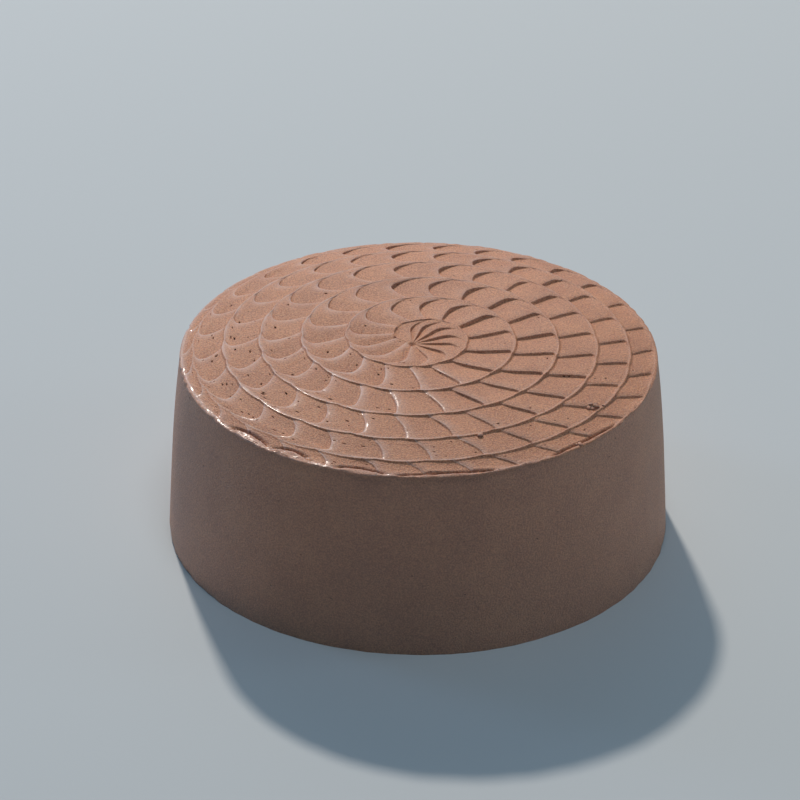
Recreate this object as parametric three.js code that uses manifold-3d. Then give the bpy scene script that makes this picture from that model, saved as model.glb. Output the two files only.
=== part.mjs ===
// Round iced layer cake, uncut, with a spiral of spatula dabs over its domed top.
// Millimetres, +Z up, the middle of the flat underside at the origin.
import * as THREE from 'three';
import { mergeVertices } from 'three/addons/utils/BufferGeometryUtils.js';
import Module from 'manifold-3d';

const wasm = await Module();
wasm.setup();

// Cake body
const baseRadius = 107;
const rimHeight = 81.8;
const sideTaper = 3.8;
const shoulderTaper = 2.4;
const crownHeight = 8.6;
const crownPower = 3.5;
const roundSegments = 72;
const sideRings = 7;
const crownRings = 9;

// Spiral of dabs, turns counted clockwise from the -X side
const spiralStart = 9.8;
const spiralPitch = 20.9;
const pitchEasing = 0.352;
const pitchClosing = 0.0835;
const lastTurn = 5.55;
const rosetteX = -2.7;
const rosetteY = -5.6;
const rosetteBlend = 0.15;

// Spacing of the dabs along the middle of the band
const firstDabTurn = -0.02;
const dabStep = 12.8;
const dabStepGrowth = 0.128;
const dabStepEasing = 0.00062;
const tightStart = 0.42;
const tightDabs = 2;

// Shape of one dab: a round-nosed ramp, deepest at its nose. The spatula turned a little in the
// hand on its way round, so the dabs are hooked on one side of the cake and slanted on the other.
const wallHeight = 1.6;
const wallSwing = 0.3;
const wallLoss = 0.13;
const tallestTurn = 0.28;
const ridgeHeight = 0.25;
const noseWidth = 0.75;
const noseSwing = 0.15;
const innerSweep = 6.5;
const outerSweep = 6;
const hookSwing = 4.5;
const hookLimit = 0.7;
const hookedTurn = 0.1;
const sweepPower = 1.8;
const ridgeFraction = 0.035;
const dabOverlap = 1.6;
const tailNear = 0.55;
const tailInner = 0.6;
const noseSteps = 6;
const cutterRise = 30;

// Small dabs that meet in the middle of the top
const rosetteDabs = 9;
const rosetteFirstTurn = -0.83;
const rosetteDepth = 2.2;
const rosetteRamp = 0.3;
const rosetteSweep = 4.2;
const rosetteNose = 0.62;

// Small steps for measuring along the band, and the distance at which points are one
const turnStep = 0.001;
const lengthStep = 0.01;
const samePoint = 1e-4;

function sideRadius(part) {
  return baseRadius - sideTaper * part - shoulderTaper * part ** 3;
}

const rimRadius = sideRadius(1);

function crown(x, y) {
  const part = Math.min(Math.hypot(x, y) / rimRadius, 1);
  return rimHeight + crownHeight * (1 - part ** crownPower);
}

function crownSlope(x, y) {
  const part = Math.min(Math.hypot(x, y) / rimRadius, 1);
  return -crownHeight * crownPower * part ** (crownPower - 1) / rimRadius;
}

function spiralRadius(turn) {
  return spiralStart + spiralPitch * turn - pitchEasing * turn ** 2 - pitchClosing * turn ** 3;
}

// Swings between -1 and 1 once round the cake, highest at the given turn.
function swing(turn, highest) {
  return Math.cos(2 * Math.PI * (turn - highest));
}

function ringPoint(turn) {
  const angle = Math.PI - 2 * Math.PI * turn;
  const radius = spiralRadius(turn);
  return new THREE.Vector2(radius * Math.cos(angle), radius * Math.sin(angle));
}

// The band of dabs lies between one turn of the spiral and the next.
function innerPoint(turn) {
  const middle = new THREE.Vector2(rosetteX, rosetteY);
  const share = THREE.MathUtils.smoothstep(turn, -rosetteBlend, 0);
  return middle.lerp(ringPoint(Math.max(turn, 0)), share);
}

function bandPoint(turn, across) {
  return innerPoint(turn).lerp(ringPoint(turn + 1), across);
}

function toSolid(geometry) {
  const shape = geometry.clone();
  shape.deleteAttribute('normal');
  shape.deleteAttribute('uv');
  const merged = mergeVertices(shape, samePoint);
  return new wasm.Manifold(new wasm.Mesh({
    numProp: 3,
    vertProperties: new Float32Array(merged.attributes.position.array),
    triVerts: new Uint32Array(merged.index.array),
  }));
}

function toGeometry(solid) {
  const mesh = solid.getMesh();
  const geometry = new THREE.BufferGeometry();
  geometry.setAttribute('position', new THREE.BufferAttribute(new Float32Array(mesh.vertProperties), 3));
  geometry.setIndex(new THREE.BufferAttribute(new Uint32Array(mesh.triVerts), 1));
  geometry.computeVertexNormals();
  return geometry;
}

function cakeBody() {
  const profile = [new THREE.Vector2(0, 0)];
  for (let ring = 0; ring <= sideRings; ring += 1) {
    const part = ring / sideRings;
    profile.push(new THREE.Vector2(sideRadius(part), rimHeight * part));
  }
  for (let ring = crownRings - 1; ring >= 1; ring -= 1) {
    const radius = rimRadius * ring / crownRings;
    profile.push(new THREE.Vector2(radius, crown(radius, 0)));
  }
  profile.push(new THREE.Vector2(0, crown(0, 0)));
  const geometry = new THREE.LatheGeometry(profile, roundSegments);
  geometry.rotateX(Math.PI / 2);
  return toSolid(geometry);
}

// Distance from the nose of a dab back to its curved edge, at a place across the band.
function edgeSweep(across, nose, inner, outer) {
  if (across < nose) {
    return inner * ((nose - across) / nose) ** sweepPower;
  }
  return outer * ((across - nose) / (1 - nose)) ** sweepPower;
}

function dabCutter({ turn, step, depth, ramp, nose, inner, outer }) {
  const middle = bandPoint(turn, 0.5);
  const along = bandPoint(turn + turnStep, 0.5).sub(middle).normalize();
  const turnLength = bandPoint(turn + lengthStep, 0.5).distanceTo(middle) / lengthStep;
  const outline = [];
  for (let count = 0; count <= noseSteps; count += 1) {
    const across = (1 - ridgeFraction) * count / noseSteps;
    const back = edgeSweep(across, nose, inner, outer) / turnLength;
    outline.push(bandPoint(turn + back, across));
  }
  const far = step * dabOverlap / turnLength;
  for (const share of [tailNear, 1]) {
    outline.push(bandPoint(turn + far * share, 1 - ridgeFraction));
  }
  for (const share of [1, tailInner]) {
    outline.push(bandPoint(turn + far * share, 0));
  }
  const slope = crownSlope(middle.x, middle.y);
  const outward = middle.clone().normalize();
  const floor = crown(middle.x, middle.y) - depth;
  const geometry = new THREE.ExtrudeGeometry(new THREE.Shape(outline), {
    depth: cutterRise,
    bevelEnabled: false,
    steps: 1,
  });
  const position = geometry.attributes.position;
  for (let index = 0; index < position.count; index += 1) {
    const from = new THREE.Vector2(position.getX(index), position.getY(index)).sub(middle);
    const lift = floor + slope * from.dot(outward) + ramp * from.dot(along);
    position.setZ(index, position.getZ(index) + lift);
  }
  return toSolid(geometry);
}

function bandDabs() {
  const dabs = [];
  let turn = firstDabTurn;
  let count = 0;
  while (turn < lastTurn) {
    const spread = dabStep + dabStepGrowth * count - dabStepEasing * count ** 2;
    const step = spread * (1 - tightStart * Math.exp(-count / tightDabs));
    const wall = wallHeight + wallSwing * swing(turn, tallestTurn) - wallLoss * Math.max(turn - 1, 0);
    dabs.push(dabCutter({
      turn,
      step,
      depth: wall + ridgeHeight,
      ramp: wall / spread,
      nose: noseWidth - noseSwing * swing(turn, hookedTurn),
      inner: innerSweep,
      outer: Math.min(outerSweep + hookSwing * swing(turn, hookedTurn), hookLimit * step),
    }));
    let walked = 0;
    while (walked < step) {
      walked += bandPoint(turn + turnStep, 0.5).distanceTo(bandPoint(turn, 0.5));
      turn += turnStep;
    }
    count += 1;
  }
  return dabs;
}

function rosetteCutters() {
  const dabs = [];
  const gap = (firstDabTurn - rosetteFirstTurn) / rosetteDabs;
  for (let count = 0; count < rosetteDabs; count += 1) {
    const turn = rosetteFirstTurn + gap * count;
    const reach = bandPoint(turn, 0.5).distanceTo(bandPoint(turn + gap, 0.5));
    dabs.push(dabCutter({
      turn,
      step: reach,
      depth: rosetteDepth,
      ramp: rosetteRamp,
      nose: rosetteNose,
      inner: 0,
      outer: rosetteSweep,
    }));
  }
  return dabs;
}

const icing = new THREE.MeshStandardMaterial({ color: 0xb48f7a, roughness: 0.55, metalness: 0 });

let cakeSolid = cakeBody();
for (const cutter of [...rosetteCutters(), ...bandDabs()]) {
  cakeSolid = cakeSolid.subtract(cutter);
}

const cake = new THREE.Mesh(toGeometry(cakeSolid), icing);
cake.name = 'cake';

const layerCake = new THREE.Group();
layerCake.name = 'layer_cake';
layerCake.add(cake);

export default layerCake;
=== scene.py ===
# Uncut layer cake under chocolate buttercream, its domed top worked into one spiral of spatula dabs.
import bisect
import math
import random

import bmesh
import bpy
from mathutils import Matrix, Vector, noise
from mathutils.bvhtree import BVHTree


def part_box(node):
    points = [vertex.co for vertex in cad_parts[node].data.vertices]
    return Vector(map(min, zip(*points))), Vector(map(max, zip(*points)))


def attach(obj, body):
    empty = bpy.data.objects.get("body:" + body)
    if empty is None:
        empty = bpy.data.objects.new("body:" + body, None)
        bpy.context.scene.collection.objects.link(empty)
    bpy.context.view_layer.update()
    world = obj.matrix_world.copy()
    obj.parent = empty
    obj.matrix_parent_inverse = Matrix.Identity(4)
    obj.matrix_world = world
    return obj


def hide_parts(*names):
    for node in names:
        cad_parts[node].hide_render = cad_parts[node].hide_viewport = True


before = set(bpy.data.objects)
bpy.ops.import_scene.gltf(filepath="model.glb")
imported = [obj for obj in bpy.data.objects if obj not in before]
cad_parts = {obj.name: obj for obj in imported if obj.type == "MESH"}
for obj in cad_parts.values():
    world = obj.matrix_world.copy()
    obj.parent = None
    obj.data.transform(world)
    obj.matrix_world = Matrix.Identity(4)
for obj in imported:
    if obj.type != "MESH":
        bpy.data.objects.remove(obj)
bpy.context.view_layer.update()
mm = 0.001
fullTurn = 2 * math.pi


def smooth(x):
    x = min(max(x, 0), 1)
    return x * x * (3 - 2 * x)


def mix(a, b, share):
    return a + (b - a) * share


def bell(distance, width):
    return math.exp(-(distance / width) ** 2)


# The body takes its foot and its height from the frame's own cake.
cakeLow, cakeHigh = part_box("cake")
body = {
    "baseRadius": (cakeHigh.x - cakeLow.x) / 2,
    "crownHeight": 8.6 * mm,     # how far the top domes above its rim
    "crownPower": 3.5,           # higher keeps the middle flatter
    "sideTaper": 3.8 * mm,
    "shoulderTaper": 2.4 * mm,   # more lean close under the rim
    "rimRounding": 0.5 * mm,
    "rimDrop": 0.6,              # how far that takes the very edge down, as a share of it
}
rimHeight = cakeHigh.z - body["crownHeight"]
rimRadius = body["baseRadius"] - body["sideTaper"] - body["shoulderTaper"]


def sideRadius(part):
    return body["baseRadius"] - body["sideTaper"] * part - body["shoulderTaper"] * part ** 3


def crown(radius):
    part = min(radius / rimRadius, 1)
    return rimHeight + body["crownHeight"] * (1 - part ** body["crownPower"])


# One spiral line, turns counted clockwise from the -X side. The band of dabs lies between one
# turn of it and the next.
spiral = {
    "start": 9.8 * mm,
    "pitch": 20.9 * mm,
    "easing": 0.352 * mm,
    "closing": 0.0835 * mm,
    "middle": Vector((-2.7, -5.6)) * mm,   # where the smallest dabs meet
    "blend": 0.15,                         # turns over which the line curls into the middle
    "search": 0.0005,                      # turns between tries when an end is looked for
}


def lineRadius(turn):
    return spiral["start"] + turn * (spiral["pitch"] - turn * (spiral["easing"] + turn * spiral["closing"]))


def linePoint(turn):
    angle = math.pi - fullTurn * turn
    return Vector((math.cos(angle), math.sin(angle))) * lineRadius(turn)


def innerPoint(turn, line=linePoint):
    share = smooth(turn / spiral["blend"] + 1)
    return spiral["middle"].lerp(line(max(turn, 0)), share)


def bandPoint(turn, across):
    return innerPoint(turn).lerp(linePoint(turn + 1), across)


def strideAt(turn, step):
    # length of the middle of the band over a short step
    return (bandPoint(turn + step, 0.5) - bandPoint(turn, 0.5)).length


lastTurn = 5
while lineRadius(lastTurn) < rimRadius:
    lastTurn += spiral["search"]

# Places of the dabs along the band, and their shapes around the cake
dabs = {
    "spacing": 12.91 * mm,
    "growth": 0.0619 * mm,
    "easing": 0.000193 * mm,
    "tightStart": 12.1 * mm,     # the first few dabs sit closer
    "tightCount": 2.3,
    "before": 19.1 * mm,         # the count begins this far before the line does
    "drift": ((0.97, 49.7, 0.45), (1.19, 18.6, -0.172), (1.0, 10.0, 0.023)),  # mm, dabs per wave, phase
    "runIn": 0.03,               # turns laid out before the first dab and past the last
    "runOut": 0.1,
    "walkStep": 0.002,
    "rosetteFirst": -0.8,
    "rosetteGap": 0.084,
    "rosetteCount": 9,
    "rosetteEnd": -0.16,
    "rosetteHook": 5.2,
    "rosetteNose": 0.62,
    "grownTurns": (-0.1, 0.4),   # the first dabs grow to their full sweep over these turns
    "firstInner": 0.6,
    "firstOuter": 0.5,
    "firstEdge": 0.3,            # turns before the line starts over which its edge sharpens
    # How the dabs change around the cake, by part of a turn. The crease of a dab starts at its
    # nose, a share across the band, and sweeps back from it to the inner and the outer line, in
    # millimetres. The wall is its height in millimetres, the rest are shares.
    "part": (0.0, 0.13, 0.24, 0.30, 0.37, 0.44, 0.52, 0.65, 0.75, 0.82, 0.88),
    "nose": (0.70, 0.62, 0.60, 0.42, 0.66, 0.84, 0.90, 0.95, 0.94, 0.80, 0.60),
    "inner": (7.0, 7.5, 6.5, 2.5, 1.5, 4.0, 7.5, 9.5, 7.0, 6.0, 5.8),
    "bow": (2.0, 2.0, 2.0, 2.0, 1.5, 1.3, 1.2, 1.25, 2.0, 2.1, 2.1),
    "outer": (6.0, 8.5, 11.0, 9.0, 4.5, 2.8, 2.5, 1.5, 1.5, 5.0, 12.5),
    "wall": (1.7, 1.75, 1.9, 2.0, 1.85, 1.65, 1.45, 1.3, 1.2, 1.35, 1.6),
    "edge": (0.4, 0.4, 0.5, 0.7, 0.8, 0.8, 0.8, 0.6, 0.35, 0.3, 0.3),
    # gloss of the crests around the cake, and the strength of their painted sheen
    "glossAndPaintedLight": (0.9, 0.7, 0.5, 0.5, 0.3, 0.2, 0.2, 0.3, 0.7, 0.9, 1.0),
    "ragged": (0.8, 0.4, 0.3, 0.3, 0.3, 0.35, 0.35, 0.5, 0.7, 0.9, 1.0),
    "outerPower": 1.9,
    "wallLoss": 0.13,            # millimetres that the dabs lose with each turn
    "tilt": 0.3 * mm,            # the inner side of a dab lies deeper
    "lip": 0.08 * mm,
    "lipShare": (0.4, 1.6),
    "unevenness": 0.14,
    "lengthStep": 0.01,          # turns over which the band is measured
    "turnJitter": 0.25 / 120,    # turns
    "noseJitter": 0.03,
    "steadyDabs": 2,             # the first dabs stay where they are
    "seed": 7,
}


def dabPlace(count):
    place = dabs["spacing"] * count + dabs["growth"] * count ** 2 - dabs["easing"] * count ** 3
    place += dabs["tightStart"] * math.exp(-count / dabs["tightCount"]) - dabs["before"]
    for size, period, phase in dabs["drift"]:
        place += size * mm * math.sin(fullTurn * (count / period + phase))
    return place


def walkBand():
    turns = [dabs["rosetteFirst"] + dabs["rosetteGap"] * count for count in range(dabs["rosetteCount"])]
    turns.insert(0, turns[0] - dabs["runIn"])
    turn, walked, step, count = 0.0, 0.0, dabs["walkStep"], 1
    turns.append(dabPlace(0) * step / strideAt(0, step))
    while turn < lastTurn + dabs["runOut"]:
        stride = strideAt(turn, step)
        while dabPlace(count) < walked + stride:
            turns.append(turn + step * (dabPlace(count) - walked) / stride)
            count += 1
        turn, walked = turn + step, walked + stride
    return turns


def around(kind, turn):
    # value of one of the lists at this part of a turn
    parts, values = dabs["part"], dabs[kind]
    part = turn % 1
    index = bisect.bisect(parts, part) - 1
    after = (index + 1) % len(parts)
    span = (parts[after] - parts[index]) % 1
    return mix(values[index], values[after], smooth((part - parts[index]) / span))


def planDabs():
    rng = random.Random(dabs["seed"])
    grownFrom, grownTo = dabs["grownTurns"]
    plans = []

    def vary():
        return 1 + rng.uniform(-1, 1) * dabs["unevenness"]

    for number, turn in enumerate(walkBand()):
        rosette = turn < dabs["rosetteEnd"]
        grown = smooth((turn - grownFrom) / (grownTo - grownFrom))
        wall = around("wall", turn) - dabs["wallLoss"] * max(turn - 1, 0)
        inner = around("inner", turn) * mix(dabs["firstInner"], 1, grown)
        outer = around("outer", turn) * mix(dabs["firstOuter"], 1, grown)
        nose = around("nose", turn)
        if rosette:
            outer, nose = dabs["rosetteHook"], dabs["rosetteNose"]
        jitter = 0 if number < dabs["steadyDabs"] else rng.uniform(-1, 1) * dabs["turnJitter"]
        plans.append({
            "turn": turn + jitter,
            "length": strideAt(turn, dabs["lengthStep"]) / dabs["lengthStep"],
            "wall": wall * vary() * mm,
            "inner": 0 if rosette else inner * vary() * mm,
            "outer": outer * vary() * mm,
            "nose": nose + rng.uniform(-1, 1) * dabs["noseJitter"],
            "bow": around("bow", turn),
            "edge": mix(1, around("edge", turn), smooth(turn / dabs["firstEdge"] + 1)),
            "tilt": 0 if rosette else dabs["tilt"] * vary(),
            "lip": dabs["lip"] * rng.uniform(*dabs["lipShare"]),
        })
    return plans


plans = planDabs()
print("dabs planned:", len(plans))


def creaseTurn(plan, across):
    if across < plan["nose"]:
        sweep = plan["inner"] * (1 - across / plan["nose"]) ** plan["bow"]
    else:
        sweep = plan["outer"] * ((across - plan["nose"]) / (1 - plan["nose"])) ** dabs["outerPower"]
    return plan["turn"] + sweep / plan["length"]


# The line as the spatula left it, and how it runs out at the rim
ring = {
    "scallop": (0.45 * mm, 1.0 * mm),   # bulge past each dab, where it is dull and where it is glossy
    "bulgePower": 0.7,
    "bulgeMiddle": 0.6,
    "wobble": 0.7 * mm,
    "wobbleRate": 2.3,           # waves per turn
    "crestHalf": 0.15 * mm,      # half the width of the crest left standing
    "crestFade": (0.2, 0.02),    # turns over which it runs out, on its inner and its outer side
    "endGap": 0.9 * mm,          # the line stays this far inside the rim until its end
    "endTurns": 0.4,
    "closeTurns": 0.03,
    "closeShare": 0.6,
    "endSnap": 0.004,
    "justBefore": 1e-9,
}
outerTurns = [creaseTurn(plan, 1) for plan in plans]


def ringPoint(turn):
    # the worked line bulges past each dab and wavers a little
    point = linePoint(turn)
    number = bisect.bisect(outerTurns, turn - 1)
    bulge = 0
    if 0 < number < len(outerTurns):
        start, end = outerTurns[number - 1], outerTurns[number]
        swept = math.pi * (turn - 1 - start) / (end - start)
        bulge = math.sin(swept) ** ring["bulgePower"] - ring["bulgeMiddle"]
    waver = noise.noise(Vector((turn * ring["wobbleRate"], 0, 0))) * smooth(turn)
    scallop = mix(*ring["scallop"], around("glossAndPaintedLight", turn)) * smooth(turn * 2)
    point += point.normalized() * (bulge * scallop + waver * ring["wobble"])
    if turn > lastTurn - ring["endTurns"]:
        inside = min(point.length, rimRadius - ring["endGap"])
        point *= mix(rimRadius, inside, smooth((lastTurn - turn) / ring["closeTurns"])) / point.length
    return point


endTurn = lastTurn
while rimRadius - ringPoint(endTurn).length < ring["closeShare"] * ring["endGap"]:
    endTurn -= spiral["search"]
rimEnd = linePoint(lastTurn).normalized() * rimRadius
rimEndHeight = rimHeight - body["rimRounding"] * body["rimDrop"]

# Smeared, torn and overhanging icing along the rim
rim = {
    "flushTurn": 4.76,           # from here the last dabs are smeared flat against the rim
    "flushEnd": 5.08,
    "flushFade": 0.12,
    "flushRun": 7 * mm,
    "smear": 0.85,               # share to which the dabs are smeared away
    "smearDepth": 0.25 * mm,
    "lipWidth": 1.4 * mm,        # icing left standing along the rim
    "lipStart": 0.05,            # turns over which it begins, where it ends and how fast
    "lipTurns": 0.7,
    "lipFade": 0.3,
    "lipWaves": 9,               # per turn
    "lipMost": 0.6,              # share of the room between the line and the rim
    "tear": 3 * mm,              # depth of the crack behind each torn flap
    "tearWidth": 0.4 * mm,
    # start and end of each flap by part of a turn, and its width in millimetres
    "tears": ((0.60, 0.66, 1.8), (0.70, 0.765, 2.0), (0.772, 0.806, 2.8),
              (0.822, 0.854, 4.0), (0.855, 0.893, 3.8)),
    "tearRounding": 0.5,         # lower makes the flaps blunter at their ends
    "leastGap": 0.01 * mm,
    "raggedness": 0.42 * mm,
    "raggedReach": 9 * mm,
    "raggedSize": (2.4 * mm, 1.1 * mm),
    "raggedEdge": 1.2 * mm,      # the very edge stays clean
    "bite": 0.5 * mm,
    "biteSize": 4 * mm,
    "lift": 0.3 * mm,
    "liftSize": 11 * mm,
    "biteReach": 2.5 * mm,
    "flap": 1.1 * mm,            # the rim hangs over a little along the front
    "flapHeight": 2.2 * mm,
    "flapReach": 6 * mm,
    "flapSize": 14 * mm,
    "flapPower": 3,              # higher keeps it closer to the front
    "fade": 3.5 * mm,            # dabs run out towards the rim
    "fadeTo": 0.4,
    "endCalm": 12 * mm,          # nothing moves close to the end of the line
}


def flushed(turn):
    # 1 where the last line fades into the smeared strip along the rim
    begun = smooth((turn + 1 - rim["flushTurn"]) / rim["flushFade"])
    return begun * smooth((rim["flushEnd"] - turn - 1) / rim["flushFade"] + 1)


def tornHere(turn):
    # how wide the torn flap is at this part of the rim: (share of its fullest, width)
    for start, end, width in rim["tears"]:
        part = (turn % 1 - start) / (end - start)
        if turn > lastTurn - 1 and 0 < part < 1:
            return math.sin(math.pi * part) ** rim["tearRounding"], width * mm
    return 0, 0


def fromEnd(spot):
    return smooth((spot - rimEnd).length / rim["endCalm"])


def flapOut(spot):
    outward = spot.normalized()
    front = max(-outward.y, 0) ** rim["flapPower"]
    waver = 0.7 + 0.6 * noise.noise(spot.to_3d() / rim["flapSize"])
    return rim["flap"] * front * waver * fromEnd(outward * rimRadius)


def rimRoughness(spot, rimGap, turn):
    # airy, torn icing towards the rim: (inward bite, lift of the surface)
    place = spot.to_3d()
    near = smooth(1 - rimGap / rim["biteReach"])
    bite = rim["bite"] * near * smooth(noise.noise(place / rim["biteSize"]) * 2)
    lift = rim["lift"] * near * noise.noise(place / rim["liftSize"])
    large, small = rim["raggedSize"]
    rough = noise.noise(place / large) + 0.6 * noise.noise(place / small)
    reach = smooth(1 - rimGap / rim["raggedReach"]) * around("ragged", turn)
    return bite, lift + rim["raggedness"] * rough * reach * smooth(rimGap / rim["raggedEdge"])


def outerEdge(turn, inner):
    # outer line of the band, and how far past it the grid reaches; the last turn runs along the
    # rim, a lip's width inside it
    past = turn - (lastTurn - 1)
    if past <= 0:
        return ringPoint(turn + 1), 1
    direction = linePoint(turn + 1).normalized()
    gap = rimRadius - inner.length
    if gap < rim["leastGap"]:
        return direction * rimRadius, 1
    lip = rim["lipWidth"] * smooth(past / rim["lipStart"])
    lip *= smooth((rim["lipTurns"] - past) / rim["lipFade"])
    lip *= 0.7 + 0.6 * noise.noise(Vector((turn * rim["lipWaves"], 3, 0)))
    full, widest = tornHere(turn)
    lip = min(max(lip, full * widest), gap * rim["lipMost"])
    return direction * (rimRadius - lip), gap / (gap - lip)


# Relief of the band: the floor of each dab drops behind its crease and ramps up to the next
relief = {
    "columns": 18,               # grid steps along each dab and across the band
    "rows": 26,
    "columnCrowding": 0.85,
    "rowCrowding": 0.7,
    "ridge": 0.15 * mm,          # how far the crests between dabs lie under the dome
    "least": 0.05 * mm,          # depth of the lines themselves
    "roll": 0.4 * mm,            # the high end of each dab rounds over
    "rollLength": 2.8 * mm,
    "rampPower": 1.2,            # higher brings the floor up sooner
    "outerRamp": 1.5,            # added to it near the outer line
    "outerRampFrom": 0.6,
    "innerWallTo": 0.4,          # share of the way across at which the wall is full
    "outerWall": 0.12,           # share of the wall that is left at the outer line
    "outerWallPower": 0.6,
    "wallRun": 0.5 * mm,
    "wallPower": 1.4,
    "tiltTop": 0.7,              # shares of the cross tilt at the crest and in the floor
    "tiltFloor": 0.3,
    "lipAhead": (-0.2 * mm, 0.5 * mm),     # middle and width of the lips on both sides of a crease
    "lipBehind": (0.2 * mm, 0.7 * mm),
    "lipTo": 0.6,                # share of the way across at which they are full
    "innerRun": (0.35 * mm, 0.95 * mm),    # sharp and soft edges
    "innerStart": (-0.12, 0.15),           # turn at which the inner edge begins, turns it takes
    "outerRun": 0.6 * mm,
    "middleDepth": 0.7 * mm,     # the rosette's middle, and the dimple in it
    "middleReach": 9 * mm,
    "dimple": 1.3 * mm,
    "dimpleWidth": 1.3 * mm,
}

# Skin of the icing with its painted light, kept per point: above 0 it is smoother and paler with a painted
# sheen, below 0 it is darkened with painted shade
skinAndPaintedLight = {
    "wide": 0.5,                 # strength of the wide painted sheen and gloss beside a crest, the rest is its sharp top
    "crestWide": 3.2 * mm,
    "crestSharp": 0.5 * mm,
    "lineWide": 1.6 * mm,
    "lineSharp": 0.45 * mm,
    "wallTop": 0.22 * mm,
    "rosetteShare": 0.4,         # how much of it the rosette shows
    "rosetteTurn": 0.5,          # it grows to the full from this many turns before the line starts
    "crease": 0.42,              # painted shade at the foot of a wall and beside a line
    "creaseFoot": 0.6 * mm,
    "creaseWidth": 0.45 * mm,
    "floor": 0.2,                # painted shade that fades along the floor
    "floorRun": 3 * mm,
    "lineFoot": 0.45 * mm,
    "lineWidth": 0.3 * mm,
    "outerRun": 0.8 * mm,        # the painted shade runs out towards the outer line and the rim
    "rimRun": 3 * mm,
    "innerShade": 0.4,
    # painted sheen on the top of a torn flap
    "flap": 0.55,
    "torn": (3, -0.5),           # how sharply a crack turns dark with painted shade
    "patchSize": 7 * mm,
    "patchFloor": 0.5,           # share of it left in the thinnest patches
    "patchMiddle": 0.6,
}


def crowd(part, strength):
    # closer steps at both ends of a run
    return part - strength * math.sin(fullTurn * part) / fullTurn


def locate(column, row):
    # where one point of the band's grid lies: in which dab, how far along it and how far across
    number = min(column // relief["columns"], len(plans) - 2)
    plan, after = plans[number], plans[number + 1]
    share = crowd(column / relief["columns"] - number, relief["columnCrowding"])
    step = crowd(row / relief["rows"], relief["rowCrowding"])
    start, end = creaseTurn(plan, step), creaseTurn(after, step)
    turn = min(mix(start, end, share), lastTurn)
    inner = innerPoint(turn, ringPoint)
    outer, reach = outerEdge(turn, inner)
    across = step * reach
    spot = inner.lerp(outer, across)
    if turn > 0:
        innerFade, outerFade = ring["crestFade"]
        aside = (1 - step) * smooth((lastTurn - turn) / innerFade)
        aside -= step * smooth((lastTurn - 1 - turn) / outerFade)
        spot += (outer - inner).normalized() * ring["crestHalf"] * aside
    if number == 0:
        # the first column curls along the spiral's own start
        curl = innerPoint(mix(-spiral["blend"], plan["turn"] + 1, step))
        spot += (curl - spot) * (1 - smooth(share))
    width = (outer - inner).length
    length = (end - start) * plan["length"]
    return {
        "plan": plan,
        "after": after,
        "turn": turn,
        "spot": spot,
        "share": share,
        "ahead": share * length,
        "behind": (1 - share) * length,
        "across": across,
        "toInner": across * width,
        "toOuter": (1 - across) * width,
    }


def dabDepth(here):
    plan, share, across, turn = here["plan"], here["share"], here["across"], here["turn"]
    wall = plan["wall"] * mix(plan["edge"], 1, smooth(across / relief["innerWallTo"]))
    toNose = smooth(max(1 - across, 0) / (1 - plan["nose"]))
    wall *= mix(relief["outerWall"], 1, toNose ** relief["outerWallPower"])
    outerPart = (across - relief["outerRampFrom"]) / (1 - relief["outerRampFrom"])
    power = relief["rampPower"] + relief["outerRamp"] * smooth(outerPart)
    floor = wall * (1 - share) ** power + plan["tilt"] * (1 - across) * relief["tiltFloor"] * (1 - share)
    dropped = min(here["ahead"] / relief["wallRun"], 1)
    tilt = mix(plan["tilt"], here["after"]["tilt"], share) * (1 - across)
    depth = relief["ridge"] + tilt * relief["tiltTop"] + floor * dropped ** relief["wallPower"]
    depth += relief["roll"] * (1 - dropped)
    aheadMiddle, aheadWidth = relief["lipAhead"]
    behindMiddle, behindWidth = relief["lipBehind"]
    lip = plan["lip"] * bell(here["ahead"] - aheadMiddle, aheadWidth)
    lip += here["after"]["lip"] * bell(here["behind"] - behindMiddle, behindWidth)
    depth -= lip * smooth(across / relief["lipTo"])
    depth += relief["roll"] * (1 - min(here["behind"] / relief["rollLength"], 1)) ** 2
    inside = smooth(here["toInner"] / mix(*relief["innerRun"], plan["edge"]))
    innerFrom, innerOver = relief["innerStart"]
    inside = mix(1, inside, smooth((turn - innerFrom) / innerOver))
    flush = flushed(turn)
    outside = smooth(here["toOuter"] / mix(relief["outerRun"], rim["flushRun"], flush))
    depth = (depth - relief["least"]) * inside * outside + relief["least"]
    flush = max(smooth((turn - rim["flushTurn"]) / rim["flushFade"]), flush * (1 - outside))
    return mix(depth, rim["smearDepth"], flush * rim["smear"])


def nearRim(here, depth, rimGap):
    # depth again, now with the rosette's middle and with the run-out to the rounded rim
    if here["turn"] < 0:
        away = (here["spot"] - spiral["middle"]).length
        depth = mix(relief["middleDepth"], depth, smooth(away / relief["middleReach"]))
        depth += relief["dimple"] * bell(away, relief["dimpleWidth"])
    depth *= mix(rim["fadeTo"], 1, smooth(rimGap / rim["fade"]))
    if rimGap < body["rimRounding"]:
        overEdge = 1 - max(rimGap, 0) / body["rimRounding"]
        depth += body["rimRounding"] * overEdge ** 2 * body["rimDrop"]
    return depth


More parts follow.
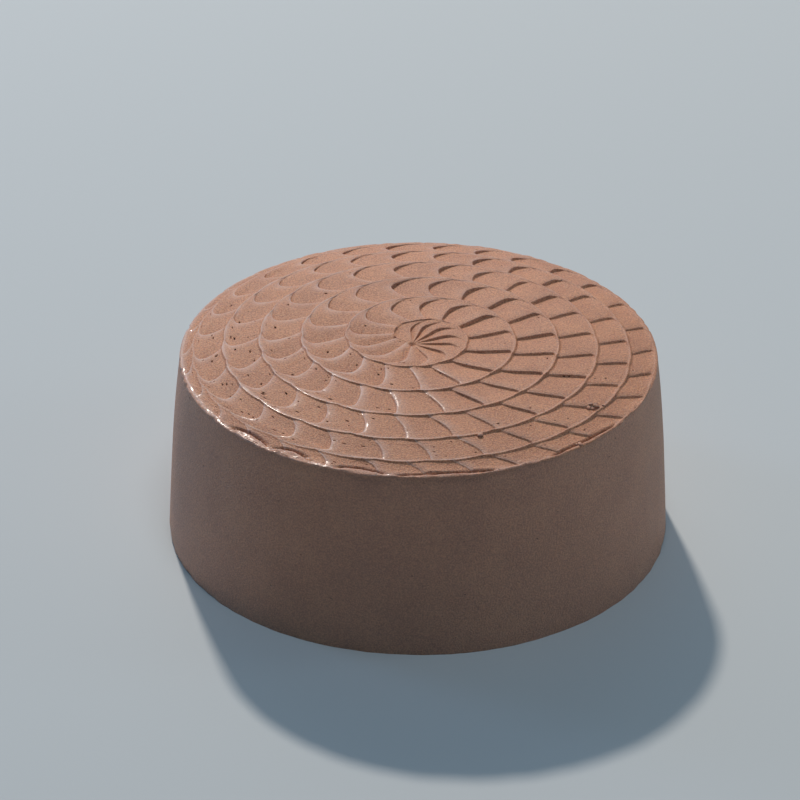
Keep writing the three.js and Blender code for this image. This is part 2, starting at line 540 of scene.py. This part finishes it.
def skinAndPaintedLightAt(here, rimGap):
    # smooth and pale with a painted sheen on the crests and lines, painted shade at the foot of the walls
    turn, toOuter = here["turn"], here["toOuter"]
    wide, sharp = skinAndPaintedLight["wide"], 1 - skinAndPaintedLight["wide"]
    crest = wide * bell(here["behind"], skinAndPaintedLight["crestWide"])
    crest += sharp * bell(here["behind"], skinAndPaintedLight["crestSharp"])
    line = wide * bell(toOuter, skinAndPaintedLight["lineWide"]) * (1 - flushed(turn))
    line += sharp * bell(toOuter, skinAndPaintedLight["lineSharp"])
    crest = max(crest, line, math.exp(-here["ahead"] / skinAndPaintedLight["wallTop"]))
    crest *= around("glossAndPaintedLight", turn) * mix(skinAndPaintedLight["rosetteShare"], 1, smooth(turn + skinAndPaintedLight["rosetteTurn"]))
    # painted shade at the foot of each wall, along the floor and beside the inner line
    shade = skinAndPaintedLight["crease"] * bell(here["ahead"] - skinAndPaintedLight["creaseFoot"], skinAndPaintedLight["creaseWidth"])
    shade += skinAndPaintedLight["floor"] * math.exp(-here["ahead"] / skinAndPaintedLight["floorRun"])
    shade *= smooth(here["ahead"] / skinAndPaintedLight["creaseFoot"]) * smooth(toOuter / skinAndPaintedLight["outerRun"])
    shade *= smooth(here["across"] + skinAndPaintedLight["innerShade"])
    beside = skinAndPaintedLight["crease"] * bell(here["toInner"] - skinAndPaintedLight["lineFoot"], skinAndPaintedLight["lineWidth"])
    return crest - max(shade, beside * here["plan"]["edge"]) * smooth(rimGap / skinAndPaintedLight["rimRun"])


def bandPlace(column, row):
    # (place seen from above, height, turn, skin value with its painted sheen and shade) of one point of the
    # band's grid
    here = locate(column, row)
    turn, spot = here["turn"], here["spot"]
    if turn > endTurn:
        return rimEnd, rimEndHeight, lastTurn, 0
    if row == relief["rows"] and 0 <= lastTurn - 1 - turn < ring["endSnap"]:
        return rimEnd, rimEndHeight, lastTurn - 1 - ring["justBefore"], 0
    radius = spot.length
    rimGap = rimRadius - radius
    full, _ = tornHere(turn)
    torn = full * bell(here["toOuter"] - rim["tearWidth"], rim["tearWidth"])
    depth = nearRim(here, dabDepth(here), rimGap) + torn * rim["tear"]
    # painted sheen on a torn flap, painted shade in the crack behind it
    flap = skinAndPaintedLight["flap"] * full * (here["across"] > 1) * around("glossAndPaintedLight", turn) ** 2
    steep, start = skinAndPaintedLight["torn"]
    tone = mix(max(skinAndPaintedLightAt(here, rimGap), flap), -1, smooth(torn * steep + start))
    patchy = smooth(noise.noise(spot.to_3d() / skinAndPaintedLight["patchSize"]) + skinAndPaintedLight["patchMiddle"])
    tone *= mix(skinAndPaintedLight["patchFloor"], 1, patchy)
    bite, lift = rimRoughness(spot, rimGap, turn)
    calm = fromEnd(spot)
    out = flapOut(spot) * smooth(1 - rimGap / rim["flapReach"])
    return spot * (1 + (out - bite * calm) / radius), crown(radius) - depth + lift * calm, turn, tone


# The icing is one grid laid along the band, closed along the spiral line and drawn down the side
seams = {
    "stretch": 0.025,            # turns of the line that are bridged at a time
    "lastStretch": 0.001,
    "samePoint": 0.002 * mm,     # points closer than this become one
}


def joinPoints(bm):
    bmesh.ops.remove_doubles(bm, verts=bm.verts, dist=seams["samePoint"])


def stretchEnd(chain, start, place):
    # last point of the chain that lies before this place on the line
    end = start
    while end + 1 < len(chain) and chain[end + 1][0] <= place:
        end += 1
    return end


def chainEdges(bm, chain):
    points = [vert for _, vert in chain]
    return [bm.edges.get(pair) for pair in zip(points, points[1:])]


def closeLine(bm, inner, outer):
    # bridges the gap along the spiral line; inner and outer are (turn, vertex) on its two sides
    place = -spiral["blend"]
    innerAt, outerAt = 0, 0
    while place < lastTurn - seams["lastStretch"]:
        place = min(place + seams["stretch"], lastTurn)
        innerTo, outerTo = stretchEnd(inner, innerAt, place), stretchEnd(outer, outerAt, place)
        if innerTo == innerAt or outerTo == outerAt:
            continue
        edges = chainEdges(bm, inner[innerAt:innerTo + 1]) + chainEdges(bm, outer[outerAt:outerTo + 1])
        bmesh.ops.bridge_loops(bm, edges=edges)
        innerAt, outerAt = innerTo, outerTo


def buildIcing():
    rows = relief["rows"]
    columns = (len(plans) - 1) * relief["columns"]
    bm = bmesh.new()
    bmesh.ops.create_grid(bm, x_segments=columns, y_segments=rows, size=1)
    # per point: gloss, paler with a painted sheen above 0, darker with painted shade below 0
    glossAndPaintedLight = bm.verts.layers.float.new("glossAndPaintedLight")
    grid = {}
    for vert in bm.verts:
        column = round((vert.co.x + 1) / 2 * columns)
        row = round((vert.co.y + 1) / 2 * rows)
        spot, height, turn, tone = bandPlace(column, row)
        vert.co = (spot.x, spot.y, height)
        vert[glossAndPaintedLight] = tone
        grid[column, row] = (turn, vert)
    print("band laid out:", len(bm.verts), "points")
    inner = [grid[column, 0] for column in range(columns + 1)]
    inner = [pair for pair in inner if pair[0] > -spiral["blend"]]
    outer = []
    for row in range(rows + 1):
        step = crowd(row / rows, relief["rowCrowding"])
        outer.append((mix(-spiral["blend"], plans[0]["turn"] + 1, step), grid[0, row][1]))
    for column in range(1, columns + 1):
        turn, vert = grid[column, rows]
        outer.append((turn + 1, vert))
    closeLine(bm, inner, outer)
    joinPoints(bm)
    print("spiral line closed")
    return bm


# Burst air bubbles, thickest where the icing was worked least
pits = {
    "count": 150,
    "depth": (0.5 * mm, 1.1 * mm),
    "brim": (0.08, 0.3),         # share of a face left standing round a pit
    "brimSink": 0.15,            # shares of the depth
    # painted shade on the brim and the floor of each pit, as skin values below 0
    "brimPaintedShade": -0.4,
    "floor": 0.1,
    "floorSink": 0.85,
    "floorPaintedShade": -1,
    "faceArea": (0.35 * mm ** 2, 2.2 * mm ** 2),
    "faceStretch": 2.2,          # longest edge of a face over its shortest
    "raggedPower": 3,
    "middleShare": 0.15,         # how many of them reach the middle of the top
    "seed": 11,
}


def takesPit(face):
    least, most = pits["faceArea"]
    sizes = [edge.calc_length() for edge in face.edges]
    evenly = len(sizes) == 4 and max(sizes) < pits["faceStretch"] * min(sizes)
    return evenly and least < face.calc_area() < most


def choosePits(rng, faces):
    chosen = {}
    while len(chosen) < pits["count"]:
        face = rng.choice(faces)
        spot = face.calc_center_median()
        turn = 0.5 - math.atan2(spot.y, spot.x) / fullTurn
        outer = (spot.xy.length / rimRadius) ** 2
        likely = around("ragged", turn) ** pits["raggedPower"] * mix(pits["middleShare"], 1, outer)
        if rng.random() < likely:
            chosen[face] = rng.uniform(*pits["depth"])
    return chosen


def sinkPits(bm):
    rng = random.Random(pits["seed"])
    glossAndPaintedLight = bm.verts.layers.float["glossAndPaintedLight"]
    for face, deep in choosePits(rng, [face for face in bm.faces if takesPit(face)]).items():
        width = math.sqrt(face.calc_area())
        brim = (rng.uniform(*pits["brim"]), pits["brimSink"], pits["brimPaintedShade"])
        floor = (pits["floor"], pits["floorSink"], pits["floorPaintedShade"])
        for inset, sink, tone in (brim, floor):
            bmesh.ops.inset_individual(bm, faces=[face], thickness=width * inset)
            for vert in face.verts:
                vert.co.z -= deep * sink
                # painted shade in the pit
                vert[glossAndPaintedLight] = tone
    print("pits sunk:", pits["count"])


# Small lumps that the spatula left behind
crumbs = {
    "heaps": ((70.5, -49.5, 4, 3.2), (73.5, -47.5, 3, 2.4), (24.6, -75.2, 1, 0.3), (64.5, -74.5, 2, 1.2)),
    "spread": (1 / 2, 1 / 3),    # shares of a heap's width, along x and y
    "size": (0.55 * mm, 1.1 * mm),
    "stretch": ((0.9, 1.6), (0.7, 1.1), (0.5, 0.8)),
    "knobs": 0.35,
    "knobSize": 1.3,
    "knobShift": 400,            # parts the knobs of one crumb from another's
    "rise": 0.25,                # share of its size that a crumb is lifted
    # painted sheen on the crumbs
    "skinAndPaintedLight": 0.25,
    "seed": 3,
}


def addCrumb(bm, rng, place, found):
    glossAndPaintedLight = bm.verts.layers.float["glossAndPaintedLight"]
    size = rng.uniform(*crumbs["size"])
    lump = bmesh.ops.create_icosphere(bm, subdivisions=2, radius=1)["verts"]
    stretch = Vector([rng.uniform(*span) for span in crumbs["stretch"]]) * size
    turned = Matrix.Rotation(rng.uniform(0, fullTurn), 3, "Z")
    for vert in lump:
        knobs = noise.noise(vert.co * crumbs["knobSize"] + place * crumbs["knobShift"])
        knobbly = 1 + crumbs["knobs"] * knobs
        vert.co = found + turned @ (vert.co * knobbly * stretch) + Vector((0, 0, crumbs["rise"] * size))
        # painted sheen on the crumb
        vert[glossAndPaintedLight] = crumbs["skinAndPaintedLight"]


def addCrumbs(bm):
    # each heap is its x and y, how many crumbs it has and its width, in millimetres
    rng = random.Random(crumbs["seed"])
    alongX, alongY = crumbs["spread"]
    above, down = Vector((0, 0, cakeHigh.z * 1.2)), Vector((0, 0, -1))
    tree = BVHTree.FromBMesh(bm)
    for x, y, count, width in crumbs["heaps"]:
        for _ in range(count):
            place = Vector((x + rng.gauss(0, width * alongX), y + rng.gauss(0, width * alongY), 0)) * mm
            addCrumb(bm, rng, place, tree.ray_cast(place + above, down)[0])
    print("crumbs added")


# The side under the rim, scraped nearly flat, and the underside
side = {
    "rimLevels": (0.004, 0.011, 0.024, 0.045),   # shares of the height, close together under the rim
    "middleSteps": 15,
    "footLevels": (0.965, 0.985, 0.995, 1.0),
    "underInset": 0.96,
    "wave": 0.35 * mm,
    "waveSize": 45 * mm,
    "scrape": 0.1 * mm,
    "scrapeSize": 5 * mm,
    "scrapeSquash": 0.25,        # the scrapes run up and down
    "biteHeight": 3 * mm,        # the bites out of the rim run out over this height
    "footRaggedness": 0.7 * mm,
    "footHeight": 2.5 * mm,
    "footSize": 6 * mm,
    # painted sheen on the side
    "skinAndPaintedLight": 0.2,
}


def softNoise(place):
    return 0.5 + 0.5 * noise.noise(place)


def sidePoint(x, y, height):
    angle = math.atan2(y, x)
    east, north = math.cos(angle), math.sin(angle)
    radius = sideRadius(height / rimHeight)
    plain = Vector((east, north, 0)) * radius
    scraped = Vector((plain.x, plain.y, height * side["scrapeSquash"]))
    radius -= side["wave"] * softNoise((plain + Vector((0, 0, height))) / side["waveSize"])
    radius -= side["scrape"] * softNoise(scraped / side["scrapeSize"])
    below = rimHeight - height
    bite, _ = rimRoughness(Vector((east, north)) * rimRadius, 0, 0)
    radius -= bite * smooth(1 - below / side["biteHeight"]) * fromEnd(plain.xy.normalized() * rimRadius)
    radius += flapOut(plain.xy) * smooth(1 - below / rim["flapHeight"])
    foot = 1 - smooth(height / side["footHeight"])
    radius -= foot * side["footRaggedness"] * (0.4 + 0.6 * noise.noise(plain / side["footSize"]))
    return Vector((east * radius, north * radius, height))


def drawOn(bm, edges):
    # extrudes the open edge: (new open edge, its points)
    found = bmesh.ops.extrude_edge_only(bm, edges=edges)["geom"]
    points = [element for element in found if isinstance(element, bmesh.types.BMVert)]
    drawn = [element for element in found if isinstance(element, bmesh.types.BMEdge)]
    return [edge for edge in drawn if edge.is_boundary], points


def drawSide(bm):
    glossAndPaintedLight = bm.verts.layers.float["glossAndPaintedLight"]
    steps, top, foot = side["middleSteps"], side["rimLevels"][-1], side["footLevels"][0]
    between = [mix(top, foot, step / steps) for step in range(1, steps)]
    edges = [edge for edge in bm.edges if edge.is_boundary]
    before = 0
    for level in (*side["rimLevels"], *between, *side["footLevels"]):
        edges, points = drawOn(bm, edges)
        for vert in points:
            vert.co = sidePoint(vert.co.x, vert.co.y, vert.co.z * (1 - level) / (1 - before))
            # painted sheen down the side
            vert[glossAndPaintedLight] = side["skinAndPaintedLight"]
        before = level
    for inset in (side["underInset"], 0):
        edges, points = drawOn(bm, edges)
        for vert in points:
            vert.co = (vert.co.x * inset, vert.co.y * inset, 0)
    joinPoints(bm)
    print("side drawn down to the foot")


def addMesh(name, bm, material):
    mesh = bpy.data.meshes.new(name)
    bm.to_mesh(mesh)
    bm.free()
    mesh.materials.append(material)
    made = bpy.data.objects.new(name, mesh)
    bpy.context.scene.collection.objects.link(made)
    return made


buttercream = {
    "deepTone": (0.34, 0.142, 0.084, 1),
    "paleTone": (0.60, 0.275, 0.150, 1),
    "paintedSheenTone": (0.56, 0.35, 0.285, 1),   # painted sheen: paler, greyer colour on the crests and lines where light glances off them
    # painted shade in the pores, creases, pits and cracks
    "paintedShadeTone": (0.055, 0.016, 0.006, 1),
    "grain": 1500,               # per metre
    "mottle": 55,
    "pores": 210,
    "coarseGrain": 0.3,          # this and the next two multiply the scale of the grain or the pores
    "sheenGrain": 0.45,
    "poreGroups": 0.35,
    "fineHeight": 0.7,
    "coarseHeight": 0.2,
    "poreDepth": 1.4,
    "poreSize": (0.09, 0.03),    # from the brim of a pore to its floor
    "poreShare": (0.53, 0.6),    # higher leaves fewer of them
    "mottleShare": 0.2,
    "toneSpread": (0.38, 0.62),  # closer together parts the two tones more
    "sheenSpread": (0.35, 0.65),
    "paintedSheenFull": 0.6,             # skin value at which the painted sheen is full, and how far it covers
    "paintedSheenMost": 0.85,
    # skin value at which the painted shade is full
    "paintedShadeFull": -0.8,
    "wornFrom": 0.3,
    "airyRoughness": 0.56,
    "wornRoughness": 0.3,
    "bumpDistance": 0.5 * mm,
    "specular": 0.25,
    "coatRoughness": 0.17,
    "subsurface": 0.25,
    "subsurfaceRadius": (1, 0.45, 0.25),
    "subsurfaceScale": 0.6 * mm,
}


def setInputs(tree, node, values):
    # an input takes a fixed value or another node's output
    for name, value in values.items():
        if isinstance(value, bpy.types.NodeSocket):
            tree.links.new(value, node.inputs[name])
        else:
            node.inputs[name].default_value = value


def spread(tree, value, low, high, toLow=0, toHigh=1):
    node = tree.nodes.new("ShaderNodeMapRange")
    setInputs(tree, node, {"Value": value, "From Min": low, "From Max": high})
    setInputs(tree, node, {"To Min": toLow, "To Max": toHigh})
    return node.outputs["Result"]


def combine(tree, kind, first, second):
    node = tree.nodes.new("ShaderNodeMath")
    node.operation = kind
    setInputs(tree, node, {0: first, 1: second})
    return node.outputs[0]


def tint(tree, factor, under, over):
    node = tree.nodes.new("ShaderNodeMix")
    node.data_type = "RGBA"
    setInputs(tree, node, {"Factor": factor, "A": under, "B": over})
    return node.outputs["Result"]


def buttercreamGrain():
    group = bpy.data.node_groups.new("buttercreamGrain", "ShaderNodeTree")
    sockets = group.interface
    sockets.new_socket("Vector", in_out="INPUT", socket_type="NodeSocketVector")
    for name in ("Grain", "Mottle", "Pores"):
        sockets.new_socket(name, in_out="INPUT", socket_type="NodeSocketFloat")
    for name in ("Height", "Tone", "Pore", "Sheen"):
        sockets.new_socket(name, in_out="OUTPUT", socket_type="NodeSocketFloat")
    source, sink = group.nodes.new("NodeGroupInput"), group.nodes.new("NodeGroupOutput")
    place = source.outputs["Vector"]

    def cloud(scale, detail, factor=1):
        node = group.nodes.new("ShaderNodeTexNoise")
        size = combine(group, "MULTIPLY", source.outputs[scale], factor)
        setInputs(group, node, {"Vector": place, "Scale": size, "Detail": detail})
        return node.outputs["Fac"]

    fine = cloud("Grain", 3)
    coarse = cloud("Grain", 2, buttercream["coarseGrain"])
    # pores, sunk in the bump and darkened with painted shade in the material
    cells = group.nodes.new("ShaderNodeTexVoronoi")
    setInputs(group, cells, {"Vector": place, "Scale": source.outputs["Pores"]})
    hole = spread(group, cells.outputs["Distance"], *buttercream["poreSize"])
    kept = spread(group, cloud("Pores", 0, buttercream["poreGroups"]), *buttercream["poreShare"])
    pore = combine(group, "MULTIPLY", hole, kept)

    height = combine(
        group, "ADD",
        combine(group, "MULTIPLY", fine, buttercream["fineHeight"]),
        combine(group, "MULTIPLY", coarse, buttercream["coarseHeight"]))
    sunk = combine(group, "MULTIPLY", pore, buttercream["poreDepth"])
    mottle = buttercream["mottleShare"]
    tone = combine(
        group, "ADD",
        combine(group, "MULTIPLY", cloud("Mottle", 4), mottle),
        combine(group, "MULTIPLY", fine, 1 - mottle))
    sheen = cloud("Grain", 3, buttercream["sheenGrain"])
    setInputs(group, sink, {
        "Height": combine(group, "SUBTRACT", height, sunk),
        "Tone": spread(group, tone, *buttercream["toneSpread"]),
        "Pore": pore,
        "Sheen": spread(group, sheen, *buttercream["sheenSpread"]),
    })
    return group


def buttercreamMaterial():
    material = bpy.data.materials.new("chocolateButtercream")
    material.use_nodes = True
    tree = material.node_tree
    grain = tree.nodes.new("ShaderNodeGroup")
    grain.node_tree = buttercreamGrain()
    setInputs(tree, grain, {
        "Vector": tree.nodes.new("ShaderNodeTexCoord").outputs["Object"],
        "Grain": buttercream["grain"],
        "Mottle": buttercream["mottle"],
        "Pores": buttercream["pores"],
    })
    attribute = tree.nodes.new("ShaderNodeAttribute")
    attribute.attribute_name = "glossAndPaintedLight"
    glossAndPaintedLight = attribute.outputs["Fac"]

    # colour: two tones of icing, then painted shade in the pores, a painted sheen on the crests and painted
    # shade in the creases, pits and cracks
    paintedSheen = spread(tree, glossAndPaintedLight, 0, buttercream["paintedSheenFull"], 0, buttercream["paintedSheenMost"])
    paintedShade = spread(tree, glossAndPaintedLight, 0, buttercream["paintedShadeFull"])
    colour = tint(tree, grain.outputs["Tone"], buttercream["deepTone"], buttercream["paleTone"])
    colour = tint(tree, grain.outputs["Pore"], colour, buttercream["paintedShadeTone"])
    colour = tint(tree, paintedSheen, colour, buttercream["paintedSheenTone"])
    colour = tint(tree, paintedShade, colour, buttercream["paintedShadeTone"])

    worked = spread(tree, glossAndPaintedLight, buttercream["wornFrom"], 1)
    worn = combine(tree, "MULTIPLY", worked, grain.outputs["Sheen"])
    bump = tree.nodes.new("ShaderNodeBump")
    setInputs(tree, bump, {
        "Strength": 1,
        "Distance": buttercream["bumpDistance"],
        "Height": grain.outputs["Height"],
    })
    setInputs(tree, tree.nodes["Principled BSDF"], {
        "Base Color": colour,
        "Roughness": spread(tree, worn, 0, 1, buttercream["airyRoughness"], buttercream["wornRoughness"]),
        "Normal": bump.outputs["Normal"],
        "Specular IOR Level": buttercream["specular"],
        "Coat Weight": worn,
        "Coat Roughness": buttercream["coatRoughness"],
        "Subsurface Weight": buttercream["subsurface"],
        "Subsurface Radius": buttercream["subsurfaceRadius"],
        "Subsurface Scale": buttercream["subsurfaceScale"],
    })
    return material


bm = buildIcing()
sinkPits(bm)
drawSide(bm)
addCrumbs(bm)
bmesh.ops.recalc_face_normals(bm, faces=bm.faces)
for face in bm.faces:
    face.smooth = True
openEdges = sum(len(edge.link_faces) != 2 for edge in bm.edges)
triangles = sum(len(face.verts) - 2 for face in bm.faces)
print("open edges:", openEdges, "triangles:", triangles)
icing = addMesh("icing", bm, buttercreamMaterial())
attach(icing, "root")
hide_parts("cake")

# Floor and camera
stageSetup = {
    "floorSize": 6.0,
    "floorColour": (0.5, 0.52, 0.53, 1),
    "floorRoughness": 0.9,
    "lens": 195.75,              # millimetres, as is the sensor
    "sensor": 36,
    "elevation": 29.93,          # degrees, as is the roll
    "roll": 0.18,
    "distance": 1.964,
    "lookAt": Vector((-0.0078, 0.1029, 0)),
}


def addFloor():
    bm = bmesh.new()
    bmesh.ops.create_grid(bm, x_segments=1, y_segments=1, size=stageSetup["floorSize"] / 2)
    material = bpy.data.materials.new("paleFloor")
    material.use_nodes = True
    shader = material.node_tree.nodes["Principled BSDF"]
    shader.inputs["Base Color"].default_value = stageSetup["floorColour"]
    shader.inputs["Roughness"].default_value = stageSetup["floorRoughness"]
    floor = addMesh("floor", bm, material)


def towards(azimuth, elevation):
    # direction from two angles in degrees
    azimuth, elevation = math.radians(azimuth), math.radians(elevation)
    level = math.cos(elevation)
    return Vector((math.cos(azimuth) * level, math.sin(azimuth) * level, math.sin(elevation)))


def addCamera():
    tilt = math.radians(stageSetup["elevation"])
    data = bpy.data.cameras.new("camera")
    data.lens = stageSetup["lens"]
    data.sensor_width = stageSetup["sensor"]
    camera = bpy.data.objects.new("camera", data)
    away = Vector((0, -math.cos(tilt), math.sin(tilt)))
    camera.location = stageSetup["lookAt"] + away * stageSetup["distance"]
    camera.rotation_euler = (math.pi / 2 - tilt, 0, 0)
    camera.rotation_euler.rotate_axis("Z", math.radians(stageSetup["roll"]))
    bpy.context.scene.collection.objects.link(camera)
    bpy.context.scene.camera = camera


# A warm key light from behind, cool soft boxes around the cake and a weak blue fill
lamps = {
    "key": {"place": towards(103, 42) * 4, "size": 0.24, "power": 126, "colour": (1, 0.92, 0.83)},
    "glow": {"place": Vector((-0.2, 2.2, 1.0)), "size": 2.4, "power": 9, "colour": (0.6, 0.8, 1)},
    "overhead": {"place": Vector((0.1, -0.34, 1.45)), "size": 0.4, "power": 4.2, "colour": (0.9, 0.95, 1)},
    "left": {"place": Vector((-1.45, 0.75, 0.3)), "size": 0.5, "power": 6.2, "colour": (0.36, 0.62, 1)},
    "right": {"place": Vector((1.5, 0.05, 0.3)), "size": 0.5, "power": 2.8, "colour": (0.68, 0.87, 1)},
}
fill = {
    "colour": (0.26, 0.66, 1, 1),
    "strength": 0.16,
}


def addLight():
    for name, lamp in lamps.items():
        data = bpy.data.lights.new(name, "AREA")
        data.shape = "DISK"
        data.size = lamp["size"]
        data.energy = lamp["power"]
        data.color = lamp["colour"]
        light = bpy.data.objects.new(name, data)
        light.location = lamp["place"]
        light.rotation_euler = (-lamp["place"]).to_track_quat("-Z", "Y").to_euler()
        bpy.context.scene.collection.objects.link(light)
    world = bpy.data.worlds.new("studio")
    world.use_nodes = True
    background = world.node_tree.nodes["Background"]
    background.inputs["Color"].default_value = fill["colour"]
    background.inputs["Strength"].default_value = fill["strength"]
    bpy.context.scene.world = world
    bpy.context.scene.view_settings.view_transform = "Standard"


addFloor()
addCamera()
addLight()
print("floor, camera and lights placed")
